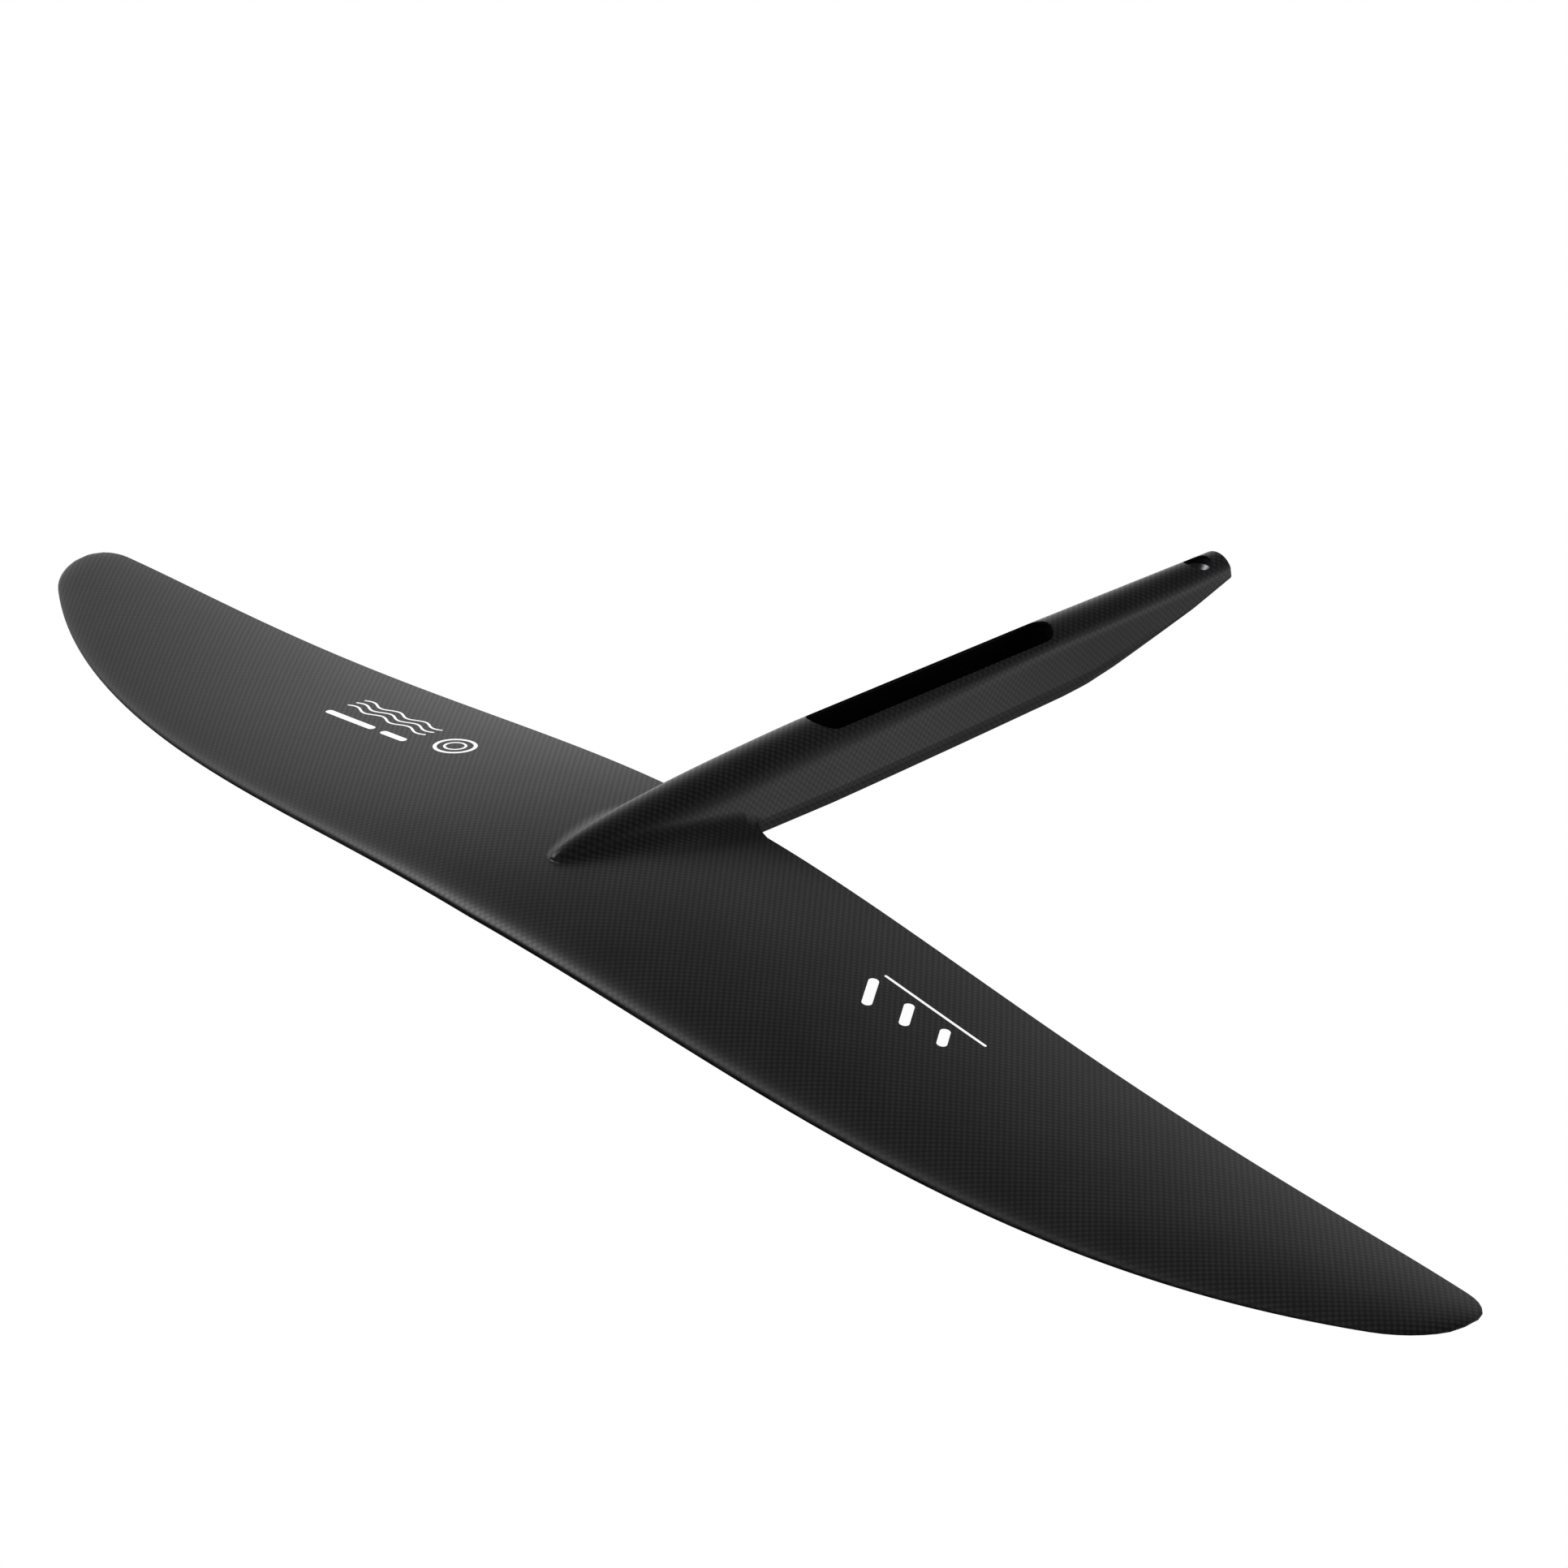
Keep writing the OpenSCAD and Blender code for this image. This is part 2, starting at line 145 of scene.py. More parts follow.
def trail(x):
    p = span_part(x)
    return ROOT_CHORD - TRAIL_TAPER * (p * p + p**12) - 9.0 * corner(x, 14.0)


def sag(x):
    return -TIP_DROP * (1.0 - (1.0 - span_part(x)) ** 2.6) ** 2.2


def half_form(u):
    return 5.0 * (0.2969 * np.sqrt(u) - 0.126 * u - 0.3516 * u**2 + 0.2843 * u**3 - 0.1036 * u**4)


def camber_line(x, u):
    p = span_part(x)
    c = trail(x) - lead(x)
    return sag(x) - (INCIDENCE + 0.0068 * p) * u * c + c * (ROOT_CAMBER + 0.0107 * p * p) * 4.0 * u * (1.0 - u)


def half_depth(x, u):
    p = span_part(x)
    c = trail(x) - lead(x)
    return c * (ROOT_THICKNESS - THICKNESS_LOSS * p * p) * half_form(u) + TRAIL_HALF * u


def wing_z(x, u, side):
    return camber_line(x, u) + side * half_depth(x, u)


# ---- fuselage ----

SLOT_FRONT = SLOT_Y - SLOT_LENGTH / 2


def crown_z(y):
    t = ease(0.0, 1.0, NOSE_Y, SLOT_FRONT, y)
    return NOSE_Z + (CROWN_HEIGHT - NOSE_Z) * (1.0 - (1.0 - t) ** 1.2) ** 0.44


def crown_r(y):
    t = ease(0.006, 1.0, NOSE_Y, NOSE_Y + NOSE_LENGTH, y)
    if y < TAPER_Y:
        return CROWN_RADIUS * math.sqrt(1.0 - (1.0 - t) ** 2)
    return ease(CROWN_RADIUS, TAIL_RADIUS, TAPER_Y, TAIL_Y, y)


def crease_angle(y):
    if y < TAPER_Y:
        return math.radians(ease(70.0, 50.0, 200.0, TAPER_Y, y))
    return math.radians(ease(50.0, 68.0, TAPER_Y, TAIL_Y, y))


def lean(y):
    return ease(0.2, 0.02, 200.0, 370.0, y)


def shoulder(y):
    a, r = crease_angle(y), crown_r(y)
    return r * math.sin(a), crown_z(y) - r * (1.0 - math.cos(a))


def side_x(y, z):
    x, top = shoulder(y)
    return x + lean(y) * (top - z)


def belly(y):
    if y > ROOT_CHORD:
        part = min((y - ROOT_CHORD) / (SCARF_Y - ROOT_CHORD), 1.0)
        flat = -BELLY_FRONT - (BELLY_REAR - BELLY_FRONT) * part**2
        rise = SCARF_TOP + (SCARF_TOP + BELLY_REAR) * (y - TAIL_Y) / (TAIL_Y - SCARF_Y)
        near = max(1.0 - abs(flat - rise) / BEND_SOFT, 0.0)
        return max(flat, rise) + BEND_SOFT / 4 * near**2
    return ease(wing_z(0.0, KEEL_Y / ROOT_CHORD, -1), -BELLY_FRONT, KEEL_Y, ROOT_CHORD, y)


def bevel(y):
    """Height of the sloping strip along the lower edges of the sides."""
    return ease(BEVEL, 0.9, SCARF_Y, 440.0, y)


def seam_z(y):
    """Height of the line along the sides where the two skins meet."""
    return ease(camber_line(0.0, 1.0), SCARF_TOP + 1.5, SCARF_Y, TAIL_Y, y)


# ---- section curves: rows of (x, z) points from the centre line outwards ----

def conic(a, corner_point, b, count=24):
    """Points of a rounded corner from a to b, tangent to the lines through the corner point."""
    a, c, b = (np.asarray(p, float) for p in (a, corner_point, b))
    u, v = a - c, b - c
    lengths = np.linalg.norm(u) * np.linalg.norm(v)
    if lengths < 1e-9:
        return np.array([a, b])
    turn = math.acos(float(np.clip(np.dot(u, v) / lengths, -1.0, 1.0)))
    weight = max(math.sin(turn / 2), 0.05)
    t = np.linspace(0.0, 1.0, count)[:, None]
    whole = (1 - t) ** 2 + 2 * weight * t * (1 - t) + t**2
    return ((1 - t) ** 2 * a + 2 * weight * t * (1 - t) * c + t**2 * b) / whole


def arc_lengths(curve):
    steps = np.linalg.norm(np.diff(curve, axis=0), axis=1)
    return np.concatenate([[0.0], np.cumsum(steps)])


def at_length(curve, lengths, s):
    return np.array([np.interp(s, lengths, curve[:, k]) for k in range(2)]).T


def direction_at(curve, lengths, s):
    d = at_length(curve, lengths, np.array([s - 0.05, s + 0.05]))
    d = d[1] - d[0]
    return d / max(np.linalg.norm(d), 1e-9)


def round_corner(first, second, reach_first, reach_second):
    """first then second, with the corner between them replaced by a rounded one."""
    la, lb = arc_lengths(first), arc_lengths(second)
    sa, sb = la[-1] - min(reach_first, 0.92 * la[-1]), min(reach_second, 0.92 * lb[-1])
    a, b = at_length(first, la, np.array([sa]))[0], at_length(second, lb, np.array([sb]))[0]
    da, db = direction_at(first, la, sa - 0.05), direction_at(second, lb, sb + 0.05)
    cross = da[0] * db[1] - da[1] * db[0]
    if abs(cross) < 0.01:
        middle = (a + b) / 2
    else:
        t = ((b - a)[0] * db[1] - (b - a)[1] * db[0]) / cross
        middle = a + da * t if 0 < t < 1.5 * np.linalg.norm(b - a) else (a + b) / 2
    return np.concatenate([first[la < sa - 1e-6], conic(a, middle, b), second[lb > sb + 1e-6]]), sa


def crown_curve(y, inset=0.0):
    a = np.linspace(0.0, crease_angle(y), 60)
    r = crown_r(y)
    return np.stack([(r - inset) * np.sin(a), crown_z(y) - r + (r - inset) * np.cos(a)], 1)


def cut_by_wing(curve, u, side):
    """The part of a curve outside the wing, up to where it meets the wing's face, or None."""
    gap = side * (curve[:, 1] - wing_z(curve[:, 0], u, side))
    if gap[0] < 0.02:
        return None
    inside = np.nonzero(gap < 0)[0]
    if len(inside) == 0:
        return curve
    i = inside[0]
    t = gap[i - 1] / (gap[i - 1] - gap[i])
    return np.concatenate([curve[:i], [curve[i - 1] + t * (curve[i] - curve[i - 1])]])


def wing_curve(start, u, side):
    x = np.linspace(start, PATCH, 120)
    return np.stack([x, wing_z(x, u, side)], 1)


def hollow_width(y):
    return 2.0 + FILLET * smooth(NOSE_Y - 12.0, NOSE_Y + 50.0, y)


def behind(y):
    """0 at the trailing edge, 1 where the rounded corner behind it has faded out."""
    return float(np.clip((y - ROOT_CHORD) / CORNER_LENGTH, 0.0, 1.0))


def fin_width(y):
    """How far the foot of the fuselage stands out from its side."""
    if y > ROOT_CHORD:
        return CORNER_WIDTH * (1.0 - behind(y)) ** 9
    wide = hollow_width(y)
    return wide + (CORNER_WIDTH - wide) * smooth(118.0, ROOT_CHORD, y)


def fin_edge(y):
    z = seam_z(y)
    return np.array([side_x(y, z) + fin_width(y), z])


def length_at_x(curve, start, x):
    """Length along the curve at which it first passes x after the length start."""
    lengths = arc_lengths(curve)
    after = lengths > start
    return float(np.interp(x, curve[after, 0], lengths[after]))


def upper_section(y, u):
    """Curve of the upper face at y, and the lengths along it of the crease and of the hollow's two ends."""
    if u is not None and y <= NOSE_Y:
        return wing_curve(0.0, u, 1), 0.0, 0.0, 0.0
    crown = crown_curve(y)
    x_top, z_top = shoulder(y)
    low = seam_z(y) - 12.0
    flank = np.array([[x_top, z_top], [side_x(y, low), low]])
    flank = flank[0] + (flank[1] - flank[0]) * np.linspace(0.0, 1.0, 80)[:, None]
    soft = min(CREASE_SOFT, 0.3 * crown_r(y))
    outline, crease = round_corner(crown, flank, soft, soft)
    out = crown_z(y) - wing_z(0.0, u, 1) if u is not None else 100.0
    rise = min(HOLLOW_RISE * hollow_width(y), 0.9 * out)
    edge = fin_edge(y)
    if u is None:
        foot = np.array([side_x(y, edge[1]), edge[1]])
        side = np.concatenate([outline[outline[:, 1] > edge[1] + 1e-6], [foot]])
        lengths = arc_lengths(side)
        s = lengths[-1] - max(rise * (1.0 - behind(y)) ** 3, 4.0)
        a = at_length(side, lengths, np.array([s]))[0]
        curve = np.concatenate([side[lengths < s - 1e-6], conic(a, foot, edge)])
        return curve, crease, s, arc_lengths(curve)[-1]
    outside = cut_by_wing(outline, u, 1)
    if outside is None:
        return wing_curve(0.0, u, 1), 0.0, 0.0, 0.0
    curve, s = round_corner(outside, wing_curve(outside[-1, 0], u, 1), rise, min(fin_width(y), 1.6 * out))
    return curve, crease, s, length_at_x(curve, s, edge[0])


def lower_section(y, u):
    """The same for the lower face."""
    z = float(belly(y))
    top = wing_z(0.0, u, -1) if u is not None else seam_z(y)
    depth = top - z
    if u is not None and (y <= KEEL_Y or depth < 0.05):
        return wing_curve(0.0, u, -1), 0.0, 0.0, 0.0
    high = min(bevel(y), depth * 0.75)
    edge_x = side_x(y, z + high)
    bottom = np.stack([np.linspace(0.0, edge_x - BEVEL_SLOPE * high, 40), np.full(40, z)], 1)
    strip = np.stack([np.linspace(edge_x - BEVEL_SLOPE * high, edge_x, 40), np.linspace(z, z + high, 40)], 1)
    levels = np.linspace(z + high, top if u is None else top + 3.0, 60)
    flank = np.stack([side_x(y, levels), levels], 1)
    outline, _ = round_corner(bottom, strip, 0.2 * high, 0.2 * high)
    outline, crease = round_corner(outline, flank, EDGE_SOFT * high, EDGE_SOFT * high)
    reach = min(KEEL_FILLET, depth * 0.4)
    if u is None:
        foot = outline[-1]
        lengths = arc_lengths(outline)
        s = lengths[-1] - reach
        a = at_length(outline, lengths, np.array([s]))[0]
        curve = np.concatenate([outline[lengths < s - 1e-6], conic(a, foot, fin_edge(y))])
        return curve, crease, s, arc_lengths(curve)[-1]
    outside = cut_by_wing(outline, u, -1)
    if outside is None:
        return wing_curve(0.0, u, -1), 0.0, 0.0, 0.0
    curve, s = round_corner(outside, wing_curve(outside[-1, 0], u, -1), reach, reach)
    return curve, crease, s, length_at_x(curve, s, fin_edge(y)[0])


# ---- grids: rows from the leading edge to the tail, columns from the centre line outwards ----

WING_ROWS = 92
NOSE_ROWS = 24
CROWN_COLUMNS = 14
SIDE_COLUMNS = 12
HOLLOW_COLUMNS = 12
ROOT_COLUMNS = 12
WING_COLUMNS = 60
FOOT = CROWN_COLUMNS + SIDE_COLUMNS + HOLLOW_COLUMNS
LAST = FOOT + ROOT_COLUMNS + WING_COLUMNS


def chord_rows():
    """Chord fractions: close together at the leading edge and round the nose, evenly spread elsewhere."""
    t = np.linspace(0.0, 1.0, WING_ROWS + 1)
    even = np.where(t < 0.25, (4.0 * t) ** 2 * 0.125, 0.125 + (t - 0.25) * (0.875 / 0.75))
    nose = (NOSE_Y + 20.0 * np.linspace(0.0, 1.0, NOSE_ROWS) ** 1.6) / ROOT_CHORD
    kept = [u for u in even if min(abs(u - nose)) > 0.001]
    return np.array(sorted(kept + list(nose)))


CHORD_ROWS = chord_rows()


def opening_rows(centre, half_length, radius):
    """Row places through a round-ended opening, close together at its ends."""
    arc = radius * (1.0 - np.cos(np.linspace(0.0, math.pi / 2, 13)))
    start, end = centre - half_length + arc, centre + half_length - arc[::-1]
    straight = np.linspace(start[-1], end[0], max(int((end[0] - start[-1]) / 3.0), 1) + 1)[1:-1]
    return np.concatenate([start, straight, end]) if end[0] - start[-1] > 1e-6 else np.concatenate([start, end[1:]])


# openings through the upper and the lower skin: centre, half length and radius
OPENINGS = {
    1: ((SLOT_Y, SLOT_LENGTH / 2, SLOT_WIDTH / 2), (TAIL_SCREW_Y, TAIL_POCKET / 2, TAIL_POCKET / 2)),
    -1: (
        (SLOT_Y - SCREW_SPACING / 2, ACCESS_HOLE / 2, ACCESS_HOLE / 2),
        (SLOT_Y + SCREW_SPACING / 2, ACCESS_HOLE / 2, ACCESS_HOLE / 2),
        (TAIL_SCREW_Y, TAIL_HOLE / 2, TAIL_HOLE / 2),
    ),
}


def body_rows():
    """Places of the rows behind the wing, shared by both skins so that their edges meet."""
    exact, loose = [TAIL_Y - TAIL_EDGE], []
    for side in OPENINGS:
        for opening in OPENINGS[side]:
            rows = opening_rows(*opening)
            exact += [rows[0], rows[-1]]
            loose += list(rows[1:-1])
    loose += list(np.linspace(ROOT_CHORD, ROOT_CHORD + CORNER_LENGTH, 31)[1:])
    loose += list(np.arange(ROOT_CHORD + CORNER_LENGTH, TAIL_Y - TAIL_EDGE, 3.5)[1:])
    kept = sorted(exact)
    for y in sorted(loose):
        if min(abs(y - k) for k in kept) > 0.14:
            kept.append(y)
    return np.array(sorted(kept))


BODY_Y = body_rows()


def opening_x(y, side):
    """Half width at y of an opening through one of the skins, 0 where there is none."""
    for centre, half_length, radius in OPENINGS[side]:
        off = max(abs(y - centre) - (half_length - radius), 0.0)
        if off < radius - 1e-6:
            return math.sqrt(radius**2 - off**2)
    return 0.0


def spread_columns(curve, marks, start=0.0, crowd=1.0):
    """Points at the columns 0 to FOOT of a section, plus the length where the last of them lies.

    With crowd under 1 the columns stand closer together on both sides of the crease.
    """
    crease, hollow, end = marks
    lengths = arc_lengths(curve)
    s3 = min(max(end, start + 13.0), lengths[-1])
    room = s3 - start
    s1 = min(max(crease, start + 0.2 * room), start + 0.6 * room)
    s2 = min(max(hollow, s1 + 0.15 * room), start + 0.85 * room)
    s = np.concatenate([
        start + (s1 - start) * np.linspace(0.0, 1.0, CROWN_COLUMNS + 1)[:-1] ** crowd,
        s1 + (s2 - s1) * np.linspace(0.0, 1.0, SIDE_COLUMNS + 1)[:-1] ** (1.0 / crowd),
        np.linspace(s2, s3, HOLLOW_COLUMNS + 1),
    ])
    return at_length(curve, lengths, s), s3, lengths


def station(k):
    return PATCH + (HALF_SPAN - PATCH) * (1.0 - (1.0 - k / WING_COLUMNS) ** 1.35)


def wing_rows(side):
    """Grid of the wing and of the fuselage above or below it, as points in rows."""
    section = upper_section if side > 0 else lower_section
    x_out = station(np.arange(1, WING_COLUMNS + 1, dtype=float))
    rows = []
    for u in CHORD_ROWS:
        y = u * ROOT_CHORD
        curve, *marks = section(y, float(u))
        near, s, lengths = spread_columns(curve, marks, 0.0, 1.0 if side > 0 else 0.6)
        more = at_length(curve, lengths, np.linspace(s, lengths[-1], ROOT_COLUMNS + 1)[1:])
        near = np.concatenate([near, more])
        near_y = lead(near[:, 0]) + u * (trail(near[:, 0]) - lead(near[:, 0]))
        out_y = lead(x_out) + u * (trail(x_out) - lead(x_out))
        points = np.concatenate([
            np.stack([near[:, 0], near_y, near[:, 1]], 1),
            np.stack([x_out, out_y, wing_z(x_out, u, side)], 1),
        ])
        rows.append(points)
    return np.array(rows)


def body_grid(side):
    """Grid of the fuselage behind the wing."""
    section = upper_section if side > 0 else lower_section
    rows = []
    for y in BODY_Y:
        curve, *marks = section(float(y), None)
        start = length_at_x(curve, -1.0, opening_x(float(y), side))
        near, _, _ = spread_columns(curve, marks, start, 1.0 if side > 0 else 0.6)
        near[-1] = curve[-1]
        rows.append(np.stack([near[:, 0], np.full(FOOT + 1, y), near[:, 1]], 1))
    return np.array(rows)


def tail_rows(last_row):
    """Rows that round the end of the tail over and close it, down to the line where the skins meet."""
    y0, seam = last_row[0, 1], last_row[-1, 2]
    wide, high = last_row[-1, 0], abs(last_row[0, 2] - seam)
    rows = []
    for angle in np.radians((22.5, 45.0, 67.5, 90.0)):
        inset = TAIL_EDGE * (1.0 - math.cos(angle))
        row = last_row.copy()
        row[:, 0] *= 1.0 - inset / wide
        row[:, 1] = y0 + TAIL_EDGE * math.sin(angle)
        row[:, 2] = seam + (row[:, 2] - seam) * max(1.0 - inset / high, 0.3)
        rows.append(row)
    cap = rows[-1].copy()
    cap[:, 2] = seam
    return np.array(rows + [cap])


# ---- closed skins ----

def outer_half(side):
    """Vertices and faces of the outer face at x >= 0, with each vertex's row and column."""
    wing = wing_rows(side)
    body = body_grid(side)
    body = np.concatenate([body, tail_rows(body[-1])])
    wing_count = wing.shape[0] * wing.shape[1]
    points = np.concatenate([wing.reshape(-1, 3), body.reshape(-1, 3)])
    wide, narrow = wing.shape[1], FOOT + 1
    wing_ids = np.arange(wing_count).reshape(wing.shape[:2])
    body_ids = wing_count + np.arange(len(body) * narrow).reshape(len(body), narrow)
    body_ids = np.concatenate([wing_ids[-1:, :narrow], body_ids])
    body_ids[-1, -1] = body_ids[-2, -1]
    faces = []
    for ids in (wing_ids, body_ids):
        a, b, c, d = ids[:-1, :-1], ids[:-1, 1:], ids[1:, 1:], ids[1:, :-1]
        faces.append(np.stack([a, b, c, d], -1).reshape(-1, 4))
    faces = np.concatenate(faces)
    if side < 0:
        faces = faces[:, ::-1]
    trailing = np.zeros(len(points), bool)
    trailing[wing_ids[-1, FOOT:]] = True
    trailing[wing_ids[1:, -1]] = True
    return points, faces, trailing, wing, body


def mirror_whole(points, faces):
    """Both halves of a mesh, joined along the vertices at x = 0, and which half each vertex copies."""
    points[np.abs(points[:, 0]) < 1e-6, 0] = 0.0
    middle = points[:, 0] == 0.0
    other = np.where(middle, np.arange(len(points)), 0)
    other[~middle] = len(points) + np.arange((~middle).sum())
    whole = np.concatenate([points, points[~middle] * (-1.0, 1.0, 1.0)])
    both = np.concatenate([faces, other[faces][:, ::-1]])
    source = np.concatenate([np.arange(len(points)), np.nonzero(~middle)[0]])
    return whole, both, source


def face_lists(faces):
    """Faces as lists without repeated vertices, leaving out those with fewer than three."""
    result = []
    for face in faces.tolist():
        short = [v for k, v in enumerate(face) if v != face[k - 1]]
        if len(short) > 2:
            result.append(short)
    return result


def face_normals(points, faces):
    first = points[faces[:, 2]] - points[faces[:, 0]]
    second = points[faces[:, 3]] - points[faces[:, 1]]
    return np.cross(first, second) / 2.0


def joint_normals(meshes):
    """Vertex normals of several meshes, shared where their vertices lie at the same place."""
    sums, keys = {}, []
    for points, faces in meshes:
        total = np.zeros((len(points), 3))
        normals = face_normals(points, faces)
        for k in range(4):
            np.add.at(total, faces[:, k], normals)
        key = [tuple(k) for k in np.round(points / 0.002).astype(int).tolist()]
        keys.append(key)
        for place, value in zip(key, total):
            sums[place] = sums.get(place, 0.0) + value
    result = []
    for key in keys:
        normals = np.array([sums[place] for place in key])
        result.append(normals / np.maximum(np.linalg.norm(normals, axis=1)[:, None], 1e-12))
    return result


def depth_to_other(own, other, side):
    """Distance up or down from the points of a section behind the wing to the other face's section."""
    order = np.argsort(other[:, 0], kind="stable")
    x, z = other[order, 0], other[order, 1]
    nearest = np.minimum.accumulate(side * -z[::-1])[::-1]
    return np.maximum(side * own[:, 1] + np.interp(own[:, 0], x, nearest), 0.0)


def shift(points):
    """From millimetres in the wing's frame to metres in the row frame."""
    return (np.asarray(points, float) - (0.0, SLOT_Y, 0.0)) * MM


def make_object(name, points, faces, loop_normals=None):
    mesh = bpy.data.meshes.new(name)
    used = sorted({k for face in faces for k in face})
    place = {k: i for i, k in enumerate(used)}
    mesh.from_pydata([tuple(p) for p in shift(points)[used]], [], [[place[k] for k in face] for face in faces])
    mesh.update()
    mesh.shade_smooth()
    if loop_normals is not None:
        mesh.normals_split_custom_set(loop_normals)
    piece = bpy.data.objects.new(name, mesh)
    bpy.context.scene.collection.objects.link(piece)
    return piece


def closed_skin(name, side, halves, normals):
    points, faces, trailing, wing, body = halves[side]
    other = halves[-side]
    depth = np.full(len(points), 1e3)
    wing_count = wing.shape[0] * wing.shape[1]
    gap = np.abs(wing[:, :, 2] - other[3][:, :, 2])
    u = CHORD_ROWS[:, None]
    p = span_part(wing[:, :, 0])
    nose = 1.1 * (ROOT_THICKNESS - THICKNESS_LOSS * p * p) ** 2 * (trail(wing[:, :, 0]) - lead(wing[:, :, 0]))
    depth[:wing_count] = (gap + nose * (1.0 - u) ** 8).reshape(-1)
    for i in range(len(body) - 1):
        row = wing_count + i * (FOOT + 1)
        depth[row:row + FOOT + 1] = depth_to_other(body[i][:, [0, 2]], other[4][i][:, [0, 2]], side)
    thick = np.clip(0.45 * depth, 0.05, SKIN)
    inner = points - normals[side][:len(points)] * thick[:, None]
    middle = (points + other[0]) / 2.0
    inner[trailing] = middle[trailing]
    opening = np.zeros(len(points), bool)
    starts = wing_count + np.arange(len(body)) * (FOOT + 1)
    opening[starts[points[starts, 0] > 0]] = True
    inner[opening] = points[opening] - np.array([0.0, 0.0, side]) * SKIN
    whole, both, source = mirror_whole(points.copy(), faces)
    inner_whole = inner[source].copy()
    mirrored = np.arange(len(source)) >= len(points)
    inner_whole[mirrored, 0] *= -1.0
    inner_whole[whole[:, 0] == 0.0, 0] = 0.0
    count = len(whole)
    outer_faces = face_lists(both)
    inner_faces = [[v + count for v in face[::-1]] for face in outer_faces]
    used = {}
    for face in outer_faces:
        for k, v in enumerate(face):
            used[(face[k - 1], v)] = True
    rims = [[b, a, a + count, b + count] for a, b in used if (b, a) not in used]
    vertex_normals = normals[side][source].copy()
    vertex_normals[mirrored, 0] *= -1.0
    all_points = np.concatenate([whole, inner_whole])
    loops = []
    for face in outer_faces:
        loops += [tuple(vertex_normals[v]) for v in face]
    for face in inner_faces:
        loops += [tuple(-vertex_normals[v - count]) for v in face]
    for face in rims:
        corners = all_points[face]
        flat = np.cross(corners[2] - corners[0], corners[3] - corners[1])
        length = np.linalg.norm(flat)
        flat = flat / length if length > 1e-9 else vertex_normals[face[0]]
        loops += [tuple(flat)] * 4
    return make_object(name, all_points, outer_faces + inner_faces + rims, loops)


halves = {side: outer_half(side) for side in (1, -1)}
upper_normals, lower_normals = joint_normals([
    (halves[1][0], halves[1][1]), (halves[-1][0], halves[-1][1])])
for side, normals in ((1, upper_normals), (-1, lower_normals)):
    on_middle = np.abs(halves[side][0][:, 0]) < 1e-6
    normals[on_middle, 0] = 0.0
    normals /= np.maximum(np.linalg.norm(normals, axis=1)[:, None], 1e-12)
normals = {1: upper_normals, -1: lower_normals}
upper_skin = closed_skin("upper_skin", 1, halves, normals)
lower_skin = closed_skin("lower_skin", -1, halves, normals)


# ---- socket wall and tail seat ----

def ring_outline(grow, count=48):
    """Round-ended outline of the mast slot, as points about its centre."""
    r = SLOT_WIDTH / 2 + grow
    reach = (SLOT_LENGTH - SLOT_WIDTH) / 2
    ends = []
    for s in (1, -1):
        a = np.linspace(0.0, math.pi, count + 1) + (0.0 if s > 0 else math.pi)
        ends.append(np.stack([r * np.cos(a), s * reach + r * np.sin(a)], 1))
        straight = np.linspace(s * reach, -s * reach, 24)[1:-1]
        ends.append(np.stack([np.full(22, -s * r), straight], 1))
    return np.concatenate(ends)


def lathe(name, profile, centre_y, segments=96):
    """Solid of revolution about the vertical through x = 0, y = centre_y, from a closed (radius, z) outline."""
    profile = np.asarray(profile, float)
    angles = 2.0 * math.pi * np.arange(segments) / segments
    rings = np.stack([
        np.stack([profile[:, 0] * math.cos(a), centre_y + profile[:, 0] * math.sin(a), profile[:, 1]], 1)
        for a in angles])
    n = len(profile)
    faces = [[i * n + k, (i + 1) % segments * n + k, (i + 1) % segments * n + (k + 1) % n, i * n + (k + 1) % n]
             for i in range(segments) for k in range(n)]
    return make_object(name, rings.reshape(-1, 3), faces)


def socket_ring():
    inside, outside = ring_outline(0.0), ring_outline(SOCKET_WALL)
    n = len(inside)

    def top(outline):
        z = [crown_z(SLOT_Y + y) - crown_r(SLOT_Y + y) + math.sqrt(crown_r(SLOT_Y + y) ** 2 - x * x)
             for x, y in outline]
        return np.array(z) - SKIN - 0.1

    loops = []
    for outline, part in ((inside, 0.0), (inside, 1.0), (outside, 1.0), (outside, 0.0)):
        z = -PLATE_THICKNESS + (top(outline) + PLATE_THICKNESS) * part
        loops.append(np.stack([outline[:, 0], outline[:, 1] + SLOT_Y, z], 1))
    faces = [[r * n + k, r * n + (k + 1) % n, (r + 1) % 4 * n + (k + 1) % n, (r + 1) % 4 * n + k]
             for r in range(4) for k in range(n)]
    return make_object("socket_wall", np.concatenate(loops), [f[::-1] for f in faces])


socket_wall = socket_ring()
REACH = TAIL_POCKET / 2
tail_seat = lathe("tail_seat", [
    (TAIL_HOLE / 2, 14.6), (4.8, 14.6), (4.8, 16.8), (REACH - 0.1, 16.8), (REACH - 0.1, INSERT_TOP),
    (REACH - 0.4, INSERT_TOP), (TAIL_HOLE / 2, INSERT_TOP - REACH + 0.4 + TAIL_HOLE / 2),
], TAIL_SCREW_Y)
for piece in (socket_wall, tail_seat):
    piece.data.set_sharp_from_angle(angle=math.radians(35.0))


# ---- painted marks on the wing: plain shapes in place of the lettering ----

PAINT = 0.05   # thickness of the paint over the skin, and how far it reaches into it


def on_wing(places, lift):
    x, y = places[..., 0], places[..., 1]
    u = (y - lead(x)) / (trail(x) - lead(x))
    return np.stack([x, y, wing_z(x, u, 1) + lift], -1)


